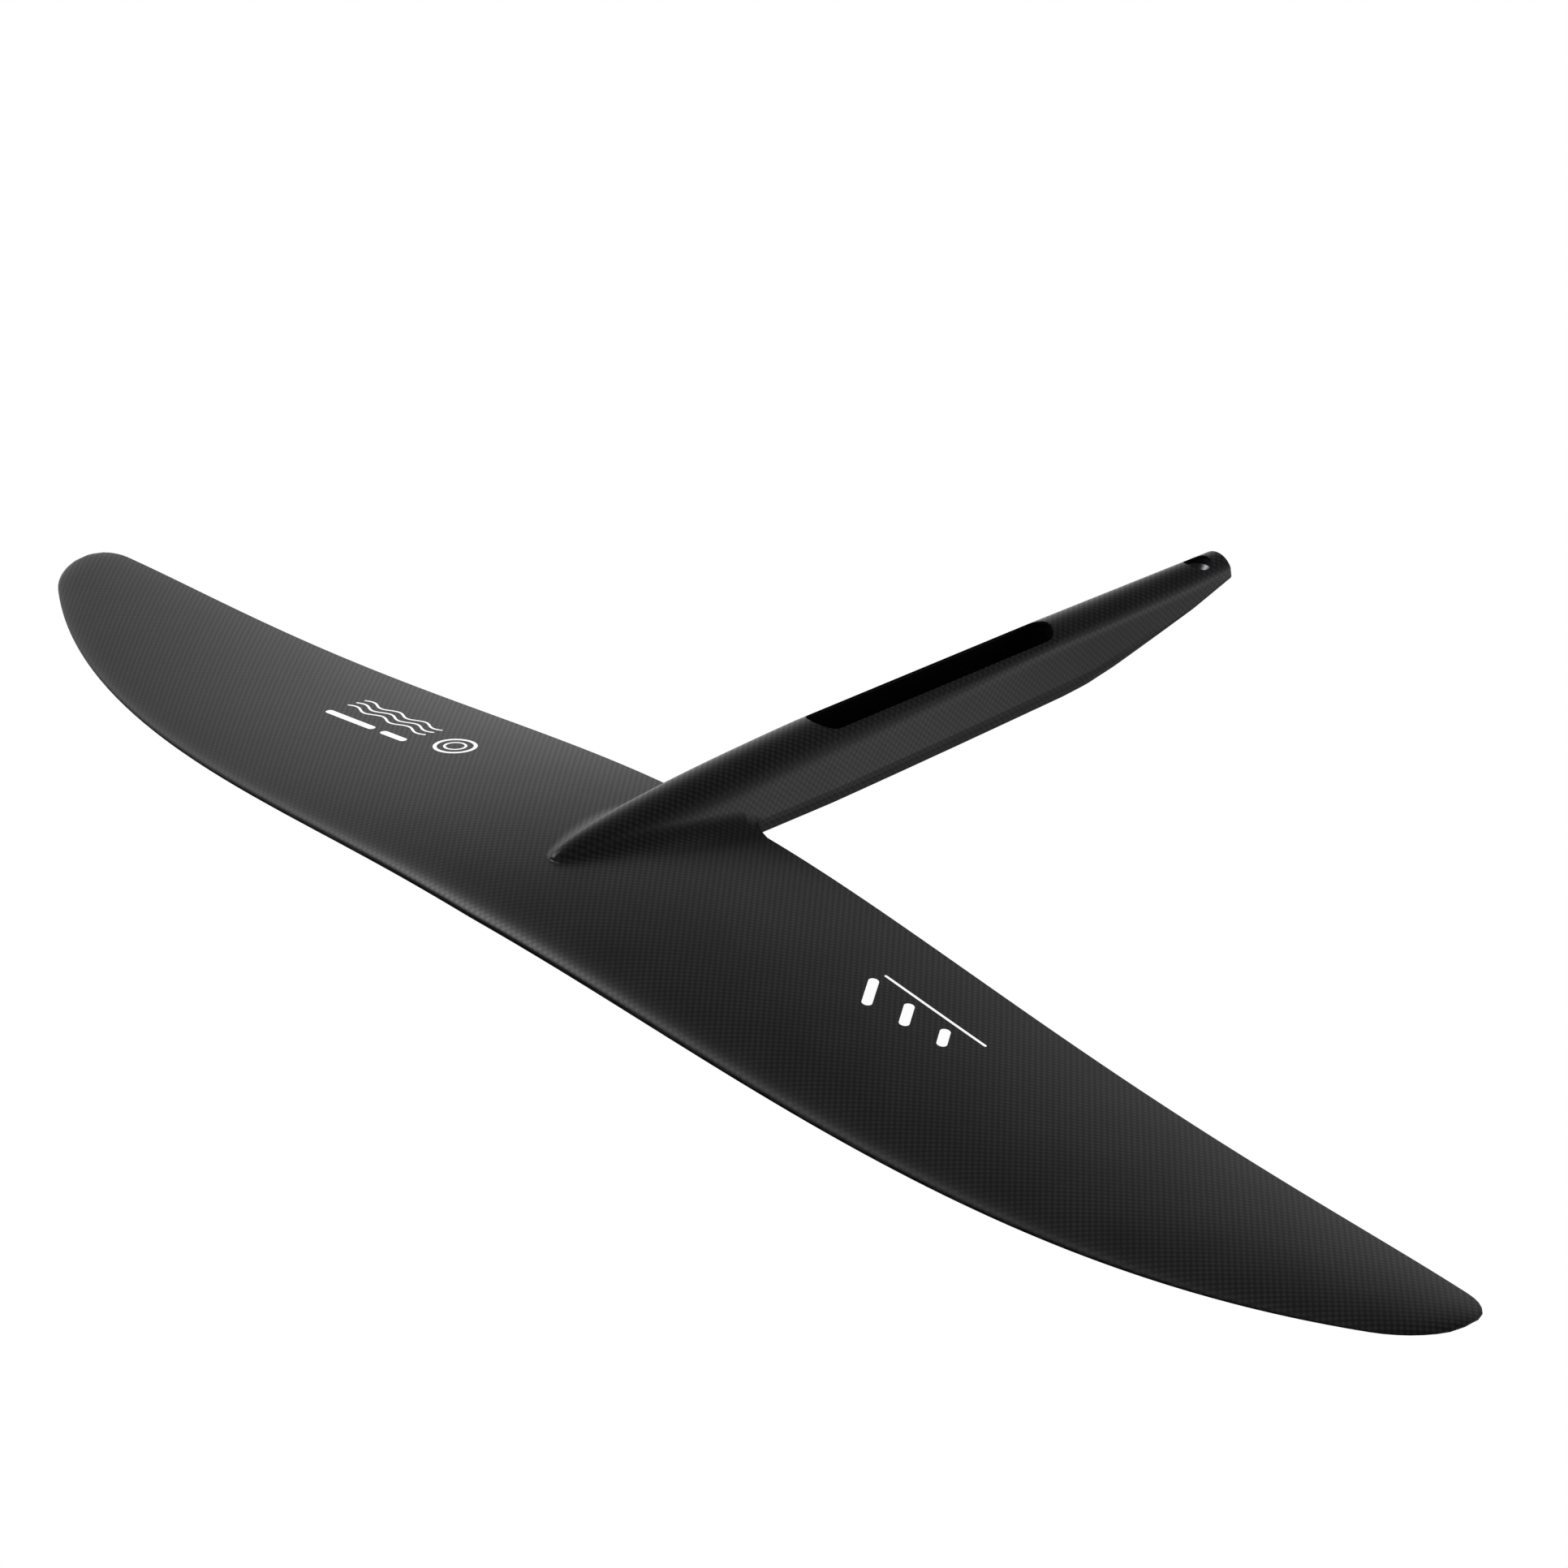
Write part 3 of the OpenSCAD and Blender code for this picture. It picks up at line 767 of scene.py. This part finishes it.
def ribbon(path, half):
    """Closed thin body along a path of (x, y) points, with rounded ends unless the path is a ring."""
    path = np.asarray(path, float)
    ring = np.allclose(path[0], path[-1])
    lengths = arc_lengths(path)
    ends = np.clip(np.minimum(lengths, lengths[-1] - lengths) / half, 0.0, 1.0)
    wide = np.full(len(path), half) if ring else half * np.sqrt(np.clip(1.0 - (1.0 - ends) ** 2, 0.02, 1.0))
    along = np.gradient(path, axis=0)
    if ring:
        along[0] = along[-1] = path[1] - path[-2]
        path, along, wide = path[:-1], along[:-1], wide[:-1]
    along /= np.linalg.norm(along, axis=1)[:, None]
    across = np.stack([-along[:, 1], along[:, 0]], 1)
    places = path[:, None] + across[:, None] * wide[:, None, None] * np.array([-1.0, 0.0, 1.0])[None, :, None]
    points = np.concatenate([on_wing(places, PAINT).reshape(-1, 3), on_wing(places, -PAINT).reshape(-1, 3)])
    rows, under, faces = len(path), 3 * len(path), []
    for i in range(rows if ring else rows - 1):
        a, b = 3 * i, 3 * ((i + 1) % rows)
        for k in (0, 1):
            faces += [(a + k, b + k, b + k + 1, a + k + 1), (under + a + k, under + a + k + 1, under + b + k + 1, under + b + k)]
        faces += [(a, under + a, under + b, b), (a + 2, b + 2, under + b + 2, under + a + 2)]
    if not ring:
        for k in (0, 1):
            last = under - 3 + k
            faces += [(k, k + 1, under + k + 1, under + k), (last, under + last, under + last + 1, last + 1)]
    return points, [tuple(reversed(f)) for f in faces]


def line(start, end, count=60):
    return np.linspace(start, end, count)


def round_ends(path):
    """The same path with close steps near both ends, where it is rounded."""
    t = (1.0 - np.cos(np.linspace(0.0, math.pi, len(path)))) / 2
    lengths = arc_lengths(path)
    return at_length(path, lengths, t * lengths[-1])


def marks(name, ribbons):
    points, faces = [], []
    for path, half in ribbons:
        more, cells = ribbon(round_ends(path) if not np.allclose(path[0], path[-1]) else path, half)
        faces += [tuple(k + len(points) for k in cell) for cell in cells]
        points += list(more)
    piece = make_object(name, points, faces)
    piece.data.set_sharp_from_angle(angle=math.radians(35.0))
    return piece


turn = np.linspace(0.0, 2.0 * math.pi, 97)
BARS = ((150.0, 22.0), (172.0, 18.0), (194.0, 14.0))   # x and length of the slanted bars on the right
WAVES = (98.0, 103.0, 108.0)                           # y of the thin wavy lines on the left
bar_marks = marks("mark_bars", [
    (line((x, 100.0), (x + 0.62 * length, 100.0 - 0.8 * length)), 2.3) for x, length in BARS
] + [(line((150.0, 106.0), (212.0, 106.0)), 0.7)])
run = np.linspace(0.0, 1.0, 120)
wave_marks = marks("mark_waves", [
    (np.stack([-214.0 + 60.0 * run, y + 1.6 * np.sin(run * 6.0 * math.pi)], 1), 0.6) for y in WAVES
] + [
    (np.stack([-132.0 + 9.5 * np.cos(turn), 98.0 + 9.5 * np.sin(turn)], 1), 0.9),
    (np.stack([-132.0 + 5.0 * np.cos(turn), 98.0 + 5.0 * np.sin(turn)], 1), 0.6),
    (line((-214.0, 86.0), (-178.0, 86.0)), 2.0),
    (line((-172.0, 86.0), (-154.0, 86.0)), 2.0),
])

for piece in (bar_marks, wave_marks):
    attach(piece, "root")
for piece, slot, nodes in (
    (upper_skin, "carbon_skin", ("upper_shell",)),
    (lower_skin, "carbon_skin", ("lower_shell", "tail_skin")),
    (socket_wall, "socket_carbon", ("mast_socket",)),
    (tail_seat, "insert_metal", ("tail_insert",)),
):
    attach(piece, "root")
    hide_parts(*nodes)


# ---- materials ----

class Nodes:
    """Short ways to build a shader tree."""

    def __init__(self, name):
        self.material = bpy.data.materials.new(name)
        self.material.use_nodes = True
        self.tree = self.material.node_tree
        self.shader = self.tree.nodes["Principled BSDF"]
        geometry = self.tree.nodes.new("ShaderNodeNewGeometry")
        self.position = geometry.outputs["Position"]
        self.normal = geometry.outputs["Normal"]

    def put(self, socket, value):
        if isinstance(value, bpy.types.NodeSocket):
            self.tree.links.new(value, socket)
        else:
            socket.default_value = value

    def math(self, operation, *values):
        node = self.tree.nodes.new("ShaderNodeMath")
        node.operation = operation
        for socket, value in zip(node.inputs, values):
            self.put(socket, value)
        return node.outputs[0]

    def split(self, vector):
        node = self.tree.nodes.new("ShaderNodeSeparateXYZ")
        self.put(node.inputs[0], vector)
        return node.outputs

    def join(self, x, y, z):
        node = self.tree.nodes.new("ShaderNodeCombineXYZ")
        for socket, value in zip(node.inputs, (x, y, z)):
            self.put(socket, value)
        return node.outputs[0]

    def ramp(self, value, low, high, start=0.0, end=1.0):
        node = self.tree.nodes.new("ShaderNodeMapRange")
        for name, number in (("Value", value), ("From Min", low), ("From Max", high), ("To Min", start), ("To Max", end)):
            self.put(node.inputs[name], number)
        return node.outputs["Result"]

    def mix(self, factor, a, b):
        node = self.tree.nodes.new("ShaderNodeMix")
        self.put(node.inputs["Factor"], factor)
        self.put(node.inputs["A"], a)
        self.put(node.inputs["B"], b)
        return node.outputs["Result"]

    def colours(self, factor, a, b):
        node = self.tree.nodes.new("ShaderNodeMix")
        node.data_type = "RGBA"
        self.put(node.inputs[0], factor)
        self.put(node.inputs[6], (*a, 1.0))
        self.put(node.inputs[7], (*b, 1.0))
        return node.outputs[2]

    def noise(self, vector, scale, detail=2.0):
        node = self.tree.nodes.new("ShaderNodeTexNoise")
        self.put(node.inputs["Vector"], vector)
        self.put(node.inputs["Scale"], scale)
        self.put(node.inputs["Detail"], detail)
        return node.outputs["Fac"]

    def bump(self, height, distance, strength=1.0):
        node = self.tree.nodes.new("ShaderNodeBump")
        self.put(node.inputs["Strength"], strength)
        self.put(node.inputs["Distance"], distance)
        self.put(node.inputs["Height"], height)
        self.put(self.shader.inputs["Normal"], node.outputs[0])

    def settings(self, **values):
        for name, value in values.items():
            self.put(self.shader.inputs[name.replace("_", " ")], value)


def weave(nodes, first, second):
    """Plain weave in two directions: which of the two tows is on top, and how high it stands."""
    cell = TOW * MM
    places = [nodes.math("DIVIDE", v, cell) for v in (first, second)]
    whole = [nodes.math("FLOOR", v) for v in places]
    parity = nodes.math("PINGPONG", nodes.math("ADD", *whole), 1.0)
    bulges = [nodes.math("SINE", nodes.math("MULTIPLY", nodes.math("FRACT", v), math.pi)) for v in places]
    across = nodes.mix(parity, bulges[1], bulges[0])
    along = nodes.mix(parity, bulges[0], bulges[1])
    height = nodes.math("MULTIPLY", nodes.math("POWER", across, 0.4), nodes.math("ADD", 0.5, nodes.math("MULTIPLY", along, 0.5)))
    return parity, height


def carbon_material(name, dark, light):
    nodes = Nodes(name)
    x, y, z = nodes.split(nodes.position)
    normal_x, normal_y, normal_z = nodes.split(nodes.normal)
    flank = nodes.ramp(nodes.math("ABSOLUTE", normal_z), 0.45, 0.62)
    top_parity, top_height = weave(nodes, x, y)
    side_parity, side_height = weave(nodes, y, z)
    parity = nodes.mix(flank, side_parity, top_parity)
    height = nodes.mix(flank, side_height, top_height)
    cloud = nodes.ramp(nodes.noise(nodes.position, 35.0), 0.3, 0.7, 0.85, 1.15)
    # tows lying one way are painted lighter than those lying the other way: a painted sheen in place of how each
    # reflects the light
    tone = nodes.mix(parity, dark, light)
    # the grooves between the tows are painted darker by their height: painted shade; the cloud is a random change of
    # tone
    shade = nodes.math("MULTIPLY", tone, nodes.math("MULTIPLY", cloud, nodes.ramp(height, 0.0, 1.0, 0.55, 1.0)))
    nodes.settings(
        Base_Color=nodes.join(shade, shade, nodes.math("MULTIPLY", shade, 1.06)),
        Roughness=nodes.mix(parity, 0.40, 0.34),
        Metallic=0.0, Specular_IOR_Level=0.5, Coat_Weight=0.0)
    nodes.bump(height, 0.00003, 0.35)
    return nodes.material


TOW = 1.75   # width of one strand of the weave

skin_material = carbon_material("woven_carbon", 0.012, 0.045)
# the same woven carbon painted darker for the walls inside the mast slot: painted shade
shaded_socket_carbon = carbon_material("socket_carbon", 0.004, 0.012)


def foam_material():
    nodes = Nodes("core_foam")
    grain = nodes.noise(nodes.position, 900.0, 4.0)
    shade = nodes.ramp(grain, 0.3, 0.7, 0.0, 1.0)
    nodes.settings(Base_Color=nodes.colours(shade, (0.50, 0.44, 0.27), (0.68, 0.61, 0.40)), Roughness=0.85)
    nodes.bump(grain, 0.0002, 0.6)
    return nodes.material


def laminate_material():
    nodes = Nodes("solid_laminate")
    x, y, z = nodes.split(nodes.position)
    layers = nodes.math("SINE", nodes.math("MULTIPLY", z, 2.0 * math.pi / 0.0006))
    grain = nodes.noise(nodes.position, 400.0, 3.0)
    shade = nodes.math("ADD", nodes.ramp(layers, -1.0, 1.0, 0.0, 0.5), nodes.ramp(grain, 0.3, 0.7, 0.0, 0.5))
    nodes.settings(Base_Color=nodes.colours(shade, (0.012, 0.013, 0.014), (0.05, 0.052, 0.056)), Roughness=0.5)
    return nodes.material


def spar_material():
    nodes = Nodes("straight_carbon")
    x, y, z = nodes.split(nodes.position)
    strands = nodes.noise(nodes.join(nodes.math("MULTIPLY", x, 20.0), nodes.math("MULTIPLY", y, 2500.0), z), 1.0, 3.0)
    nodes.settings(Base_Color=nodes.colours(strands, (0.008, 0.008, 0.009), (0.06, 0.06, 0.065)),
                   Roughness=nodes.ramp(strands, 0.2, 0.8, 0.3, 0.5))
    nodes.bump(strands, 0.00005, 0.4)
    return nodes.material


def steel_material(name, centre_y, tone):
    """Turned metal: fine rings about the vertical axis through x = 0, y = centre_y."""
    nodes = Nodes(name)
    x, y, z = nodes.split(nodes.position)
    off = nodes.math("SUBTRACT", y, centre_y)
    radius = nodes.math("SQRT", nodes.math("ADD", nodes.math("MULTIPLY", x, x), nodes.math("MULTIPLY", off, off)))
    rings = nodes.noise(nodes.join(nodes.math("MULTIPLY", radius, 9000.0), nodes.math("MULTIPLY", z, 9000.0), 0.0), 1.0, 2.0)
    low, high = [c * 0.8 for c in tone], [min(c * 1.15, 1.0) for c in tone]
    nodes.settings(Base_Color=nodes.colours(rings, low, high), Metallic=1.0,
                   Roughness=nodes.ramp(rings, 0.2, 0.8, 0.28, 0.42))
    nodes.bump(rings, 0.00001, 0.4)
    return nodes.material


def glowing_paint_material():
    nodes = Nodes("white_paint_painted_glow")
    grain = nodes.noise(nodes.position, 2500.0, 2.0)
    # the white paint is also given a glow of its own: painted light, so that the marks stay bright whatever light falls
    # on them
    nodes.settings(Base_Color=nodes.colours(nodes.ramp(grain, 0.3, 0.7), (0.80, 0.80, 0.80), (0.90, 0.90, 0.90)),
                   Roughness=0.55, Emission_Color=(1.0, 1.0, 1.0, 1.0), Emission_Strength=0.7)
    return nodes.material


def set_material(piece, material):
    piece.data.materials.clear()
    piece.data.materials.append(material)


foam, laminate, spar = foam_material(), laminate_material(), spar_material()
for node in ("front_core_left", "front_core_right", "rear_core_left", "rear_core_right", "nose_core", "tail_core"):
    set_material(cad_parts[node], foam)
for node in ("spar_web", "leading_strip_left", "leading_strip_right", "trailing_strip_left",
             "trailing_strip_right", "tip_block_left", "tip_block_right", "tail_block", "socket_plate"):
    set_material(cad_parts[node], laminate)
for node in ("spar_cap_upper", "spar_cap_lower"):
    set_material(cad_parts[node], spar)
for node in ("screw_seat_front", "screw_seat_rear"):
    low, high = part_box(node)
    set_material(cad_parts[node], steel_material(node + "_steel", (low.y + high.y) / 2, (0.45, 0.46, 0.48)))
paint = glowing_paint_material()
set_material(bar_marks, paint)
set_material(wave_marks, paint)
set_material(upper_skin, skin_material)
set_material(lower_skin, skin_material)
set_material(socket_wall, shaded_socket_carbon)
set_material(tail_seat, steel_material("tail_seat_steel", (TAIL_SCREW_Y - SLOT_Y) * MM, (0.16, 0.16, 0.17)))


# ---- floor, light and camera ----

def floor_material():
    """White seen from above, and clear from below, so that the underside can be looked at."""
    material = bpy.data.materials.new("pale_floor")
    material.use_nodes = True
    tree = material.node_tree
    tree.nodes.remove(tree.nodes["Principled BSDF"])
    output = tree.nodes["Material Output"]
    glow = tree.nodes.new("ShaderNodeEmission")
    glow.inputs["Color"].default_value = (1.0, 1.0, 1.0, 1.0)
    glow.inputs["Strength"].default_value = 1.0
    clear = tree.nodes.new("ShaderNodeBsdfTransparent")
    geometry = tree.nodes.new("ShaderNodeNewGeometry")
    mix = tree.nodes.new("ShaderNodeMixShader")
    tree.links.new(geometry.outputs["Backfacing"], mix.inputs[0])
    tree.links.new(glow.outputs[0], mix.inputs[1])
    tree.links.new(clear.outputs[0], mix.inputs[2])
    tree.links.new(mix.outputs[0], output.inputs["Surface"])
    return material


FLOOR_HALF = 4.0
floor_z = cad_box[0].z - 0.002
floor_mesh = bpy.data.meshes.new("floor")
floor_mesh.from_pydata(
    [(-FLOOR_HALF, -FLOOR_HALF, floor_z), (FLOOR_HALF, -FLOOR_HALF, floor_z),
     (FLOOR_HALF, FLOOR_HALF, floor_z), (-FLOOR_HALF, FLOOR_HALF, floor_z)], [], [(0, 1, 2, 3)])
floor = bpy.data.objects.new("floor", floor_mesh)
bpy.context.scene.collection.objects.link(floor)
floor.data.materials.append(floor_material())
floor.visible_diffuse = False
floor.visible_glossy = False
floor.visible_transmission = False
floor.visible_shadow = False

# brightness of the studio by the height of the direction: a bright band at the horizon, dark overhead
STUDIO = ((0.0, 0.10), (0.15, 0.11), (0.22, 0.20), (0.27, 0.30), (0.32, 0.58), (0.40, 1.15), (0.50, 0.9), (0.55, 0.30),
          (0.61, 0.40), (0.69, 0.38), (0.75, 0.22), (0.80, 0.12), (0.90, 0.05), (1.0, 0.04))
# the side of the far wing is brighter: where that starts and is reached in x, and how much brighter
BESIDE = (-0.55, -0.80, 1.6)
# a soft light ahead of the wing and above it: its direction, its two edges as cosines, its brightness
STRIP_SIDE = (-0.66, -0.33, 0.67)
STRIP_EDGE, STRIP_CORE, STRIP_LEVEL = 0.90, 0.98, 4.2


def studio_world():
    world = bpy.data.worlds.new("studio")
    world.use_nodes = True
    tree = world.node_tree
    tree.nodes.clear()

    def put(socket, value):
        if isinstance(value, bpy.types.NodeSocket):
            tree.links.new(value, socket)
        else:
            socket.default_value = value

    def step(value, low, high, start, end, shape="LINEAR"):
        node = tree.nodes.new("ShaderNodeMapRange")
        node.interpolation_type = shape
        for name, number in (("Value", value), ("From Min", low), ("From Max", high), ("To Min", start), ("To Max", end)):
            put(node.inputs[name], number)
        return node.outputs["Result"]

    def combine(operation, a, b):
        node = tree.nodes.new("ShaderNodeMath")
        node.operation = operation
        put(node.inputs[0], a)
        put(node.inputs[1], b)
        return node.outputs[0]

    coordinates = tree.nodes.new("ShaderNodeTexCoord").outputs["Generated"]
    parts = tree.nodes.new("ShaderNodeSeparateXYZ")
    put(parts.inputs[0], coordinates)
    x, y, z = parts.outputs
    ramp = tree.nodes.new("ShaderNodeValToRGB")
    points = ramp.color_ramp.elements
    for place, level in STUDIO[1:-1]:
        points.new(place)
    for point, (place, level) in zip(points, STUDIO):
        point.position = place
        point.color = (level, level, level, 1.0)
    put(ramp.inputs[0], step(z, -1.0, 1.0, 0.0, 1.0))
    beside = step(x, BESIDE[0], BESIDE[1], 1.0, BESIDE[2], "SMOOTHSTEP")
    above = step(z, 0.0, 0.12, 0.0, 1.0, "SMOOTHSTEP")
    level = combine("MULTIPLY", ramp.outputs[0], combine("POWER", beside, above))
    front = combine("MULTIPLY", step(y, 0.2, 0.4, 1.0, 0.0, "SMOOTHSTEP"), step(z, -0.12, -0.3, 0.0, 1.0, "SMOOTHSTEP"))
    level = combine("MULTIPLY", level, combine("SUBTRACT", 1.0, combine("MULTIPLY", front, 0.8)))
    ahead = combine("MULTIPLY", step(y, -0.1, -0.4, 0.0, 1.0, "SMOOTHSTEP"), step(z, 0.6, 0.4, 0.0, 1.0, "SMOOTHSTEP"))
    level = combine("MULTIPLY", level, combine("SUBTRACT", 1.0, combine("MULTIPLY", ahead, 0.95)))
    toward = tree.nodes.new("ShaderNodeVectorMath")
    toward.operation = "DOT_PRODUCT"
    put(toward.inputs[0], coordinates)
    toward.inputs[1].default_value = STRIP_SIDE
    strip = combine("POWER", step(toward.outputs["Value"], STRIP_EDGE, STRIP_CORE, 0.0, 1.0), 2.0)
    level = combine("ADD", level, combine("MULTIPLY", strip, STRIP_LEVEL))
    lit = tree.nodes.new("ShaderNodeBackground")
    put(lit.inputs["Color"], level)
    plain = tree.nodes.new("ShaderNodeBackground")
    plain.inputs["Color"].default_value = (1.0, 1.0, 1.0, 1.0)
    path = tree.nodes.new("ShaderNodeLightPath")
    mix = tree.nodes.new("ShaderNodeMixShader")
    output = tree.nodes.new("ShaderNodeOutputWorld")
    tree.links.new(path.outputs["Is Camera Ray"], mix.inputs[0])
    tree.links.new(lit.outputs[0], mix.inputs[1])
    tree.links.new(plain.outputs[0], mix.inputs[2])
    tree.links.new(mix.outputs[0], output.inputs["Surface"])
    bpy.context.scene.world = world


studio_world()
bpy.context.scene.view_settings.view_transform = "Standard"

AZIMUTH, ELEVATION = math.radians(47.980), math.radians(28.084)
back = Vector((math.sin(AZIMUTH) * math.cos(ELEVATION), -math.cos(AZIMUTH) * math.cos(ELEVATION), math.sin(ELEVATION)))
camera_data = bpy.data.cameras.new("camera")
camera_data.lens = 111.33
camera_data.sensor_width = 36.0
camera = bpy.data.objects.new("camera", camera_data)
bpy.context.scene.collection.objects.link(camera)
camera.location = (1.44338, -1.39259, 1.03530)
camera.rotation_euler = (-back).to_track_quat("-Z", "Y").to_euler()
bpy.context.scene.camera = camera
